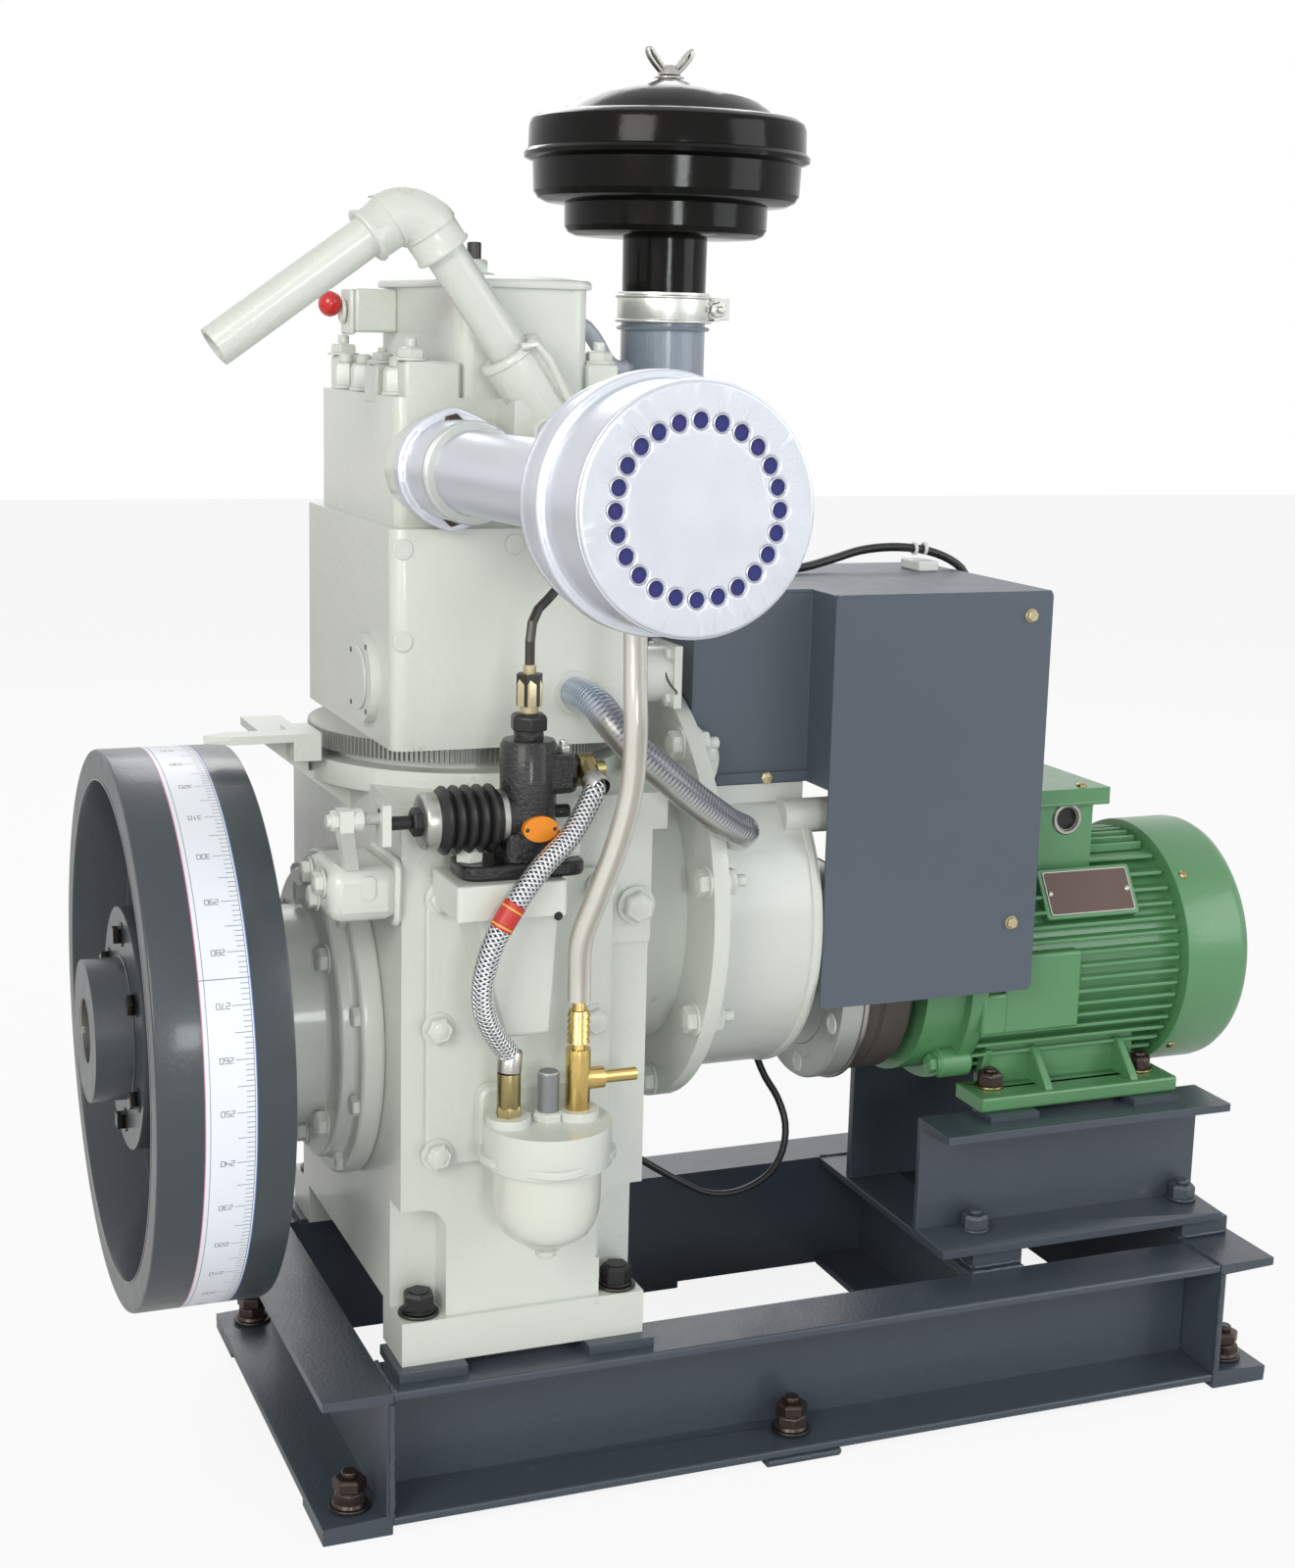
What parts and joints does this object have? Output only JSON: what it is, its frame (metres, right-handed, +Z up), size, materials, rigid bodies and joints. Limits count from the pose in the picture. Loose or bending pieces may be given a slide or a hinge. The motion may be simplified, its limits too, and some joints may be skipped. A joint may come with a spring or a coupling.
{
  "type": "engine test rig",
  "caption": "Variable-compression single-cylinder engine with flywheel, silencer, air cleaner and control box, coupled to an electric motor on a welded channel frame.",
  "frame": {"origin": "centre of the frame's footprint, at floor level under the foot pads", "axes": "+X along the crankshaft from the flywheel to the motor, -Y the front with the fuel pump and silencer, +Z up"},
  "size_m": [0.929, 0.741, 1.0265],
  "materials": {
    "frame_paint": "semi-gloss slate grey enamel",
    "box_paint": "satin grey enamel",
    "casting_paint": "glossy pale grey enamel over a rough casting",
    "wheel_paint": "glossy dark grey enamel",
    "motor_green": "glossy green enamel",
    "bright_steel": "machined",
    "silver_paint": "aluminium paint",
    "gloss_black": "gloss black enamel",
    "zinc": "zinc plated",
    "intake_paint": "grey enamel",
    "fuel_brass": "turned",
    "black_rubber": "matt",
    "red_knob": "gloss",
    "disc_iron": "turned",
    "braid": "woven wire",
    "clear_hose": "clear vinyl",
    "wire_hose": "clear vinyl with a wire spiral",
    "grey_hose": "satin"
  },
  "bodies": {
    "rig": {"left_channel": "frame_paint", "right_channel": "frame_paint", "front_rail": "frame_paint", "rear_rail": "frame_paint", "mid_channel": "frame_paint", "foot_pads": "frame_paint", "engine_packing": "frame_paint", "motor_packing": "frame_paint", "front_stand": "frame_paint", "rear_stand": "frame_paint", "motor_shims": "frame_paint", "crankcase": "casting_paint", "side_cover": "casting_paint", "inspection_cover": "casting_paint", "gear_ring": "bright_steel", "cylinder_block": "casting_paint", "block_cover": "casting_paint", "cylinder_head": "casting_paint", "rocker_box": "casting_paint", "rocker_lid": "casting_paint", "water_outlet": "casting_paint", "decompression_housing": "casting_paint", "exhaust_pipe": "silver_paint", "silencer_drum": "silver_paint", "intake_pipe": "intake_paint", "air_cleaner": "gloss_black", "wing_nut": "bright_steel", "hose_clamp": "zinc", "pump_bracket": "casting_paint", "injection_pump": "gloss_black", "pump_bellows": "black_rubber", "injector_pipe": "bright_steel", "leak_pipe": "casting_paint", "governor_housing": "casting_paint", "governor_link": "casting_paint", "timing_pointer": "casting_paint", "filter_head": "casting_paint", "filter_bowl": "casting_paint", "fuel_tee": "fuel_brass", "fuel_banjo": "fuel_brass", "fuel_hose": "braid", "return_hose": "clear_hose", "water_hose": "wire_hose", "breather_hose": "grey_hose", "bell_housing": "casting_paint", "control_box": "box_paint", "front_panel": "box_paint", "box_cable": "black_rubber", "sensor_wire": "black_rubber", "motor_body": "motor_green", "motor_feet": "motor_green", "fan_cowl": "motor_green", "terminal_box": "motor_green"},
    "rotor": {"flywheel": "wheel_paint", "flywheel_hub": "wheel_paint", "crankshaft": "bright_steel", "coupling_disc": "disc_iron", "coupling_rubber": "black_rubber"},
    "lever": {"decompression_lever": "red_knob"}
  },
  "joints": [
    {"name": "crankshaft_spin", "type": "hinge", "parent": "rig", "child": "rotor", "pos_m": [0, 0, 0.326], "axis": [1, 0, 0], "continuous": true},
    {"name": "decompression_turn", "type": "hinge", "parent": "rig", "child": "lever", "pos_m": [-0.309, 0.066, 0.833], "axis": [1, 0, 0], "range_deg": [0, 90]}
  ]
}
